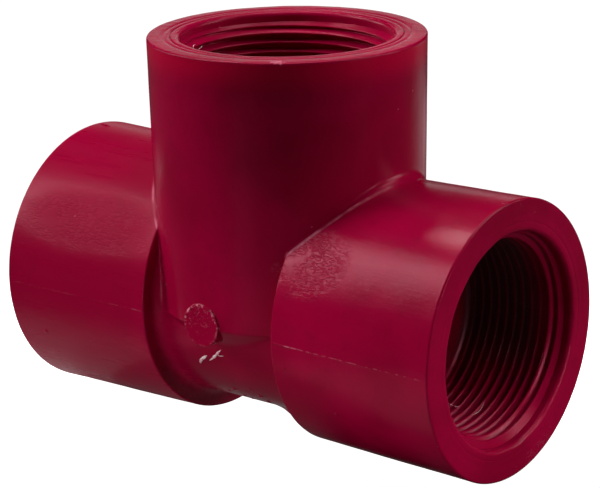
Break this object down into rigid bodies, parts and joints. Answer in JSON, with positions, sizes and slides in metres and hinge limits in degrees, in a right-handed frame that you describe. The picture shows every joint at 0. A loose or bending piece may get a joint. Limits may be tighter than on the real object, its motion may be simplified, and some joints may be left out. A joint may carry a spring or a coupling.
{
  "type": "threaded pipe tee",
  "caption": "Moulded red plastic pipe tee: a straight run with a branch at right angles, each hub with an internal taper pipe thread.",
  "frame": {"origin": "where the axis of the run crosses the axis of the branch", "axes": "+X along the run, +Z along the branch towards its mouth, -Y towards the side with the gate pad"},
  "size_m": [0.1228, 0.0634, 0.0931],
  "materials": {
    "red_plastic": "semi-gloss deep crimson, as moulded"
  },
  "bodies": {
    "root": {"tee_body": "red_plastic"}
  },
  "joints": []
}
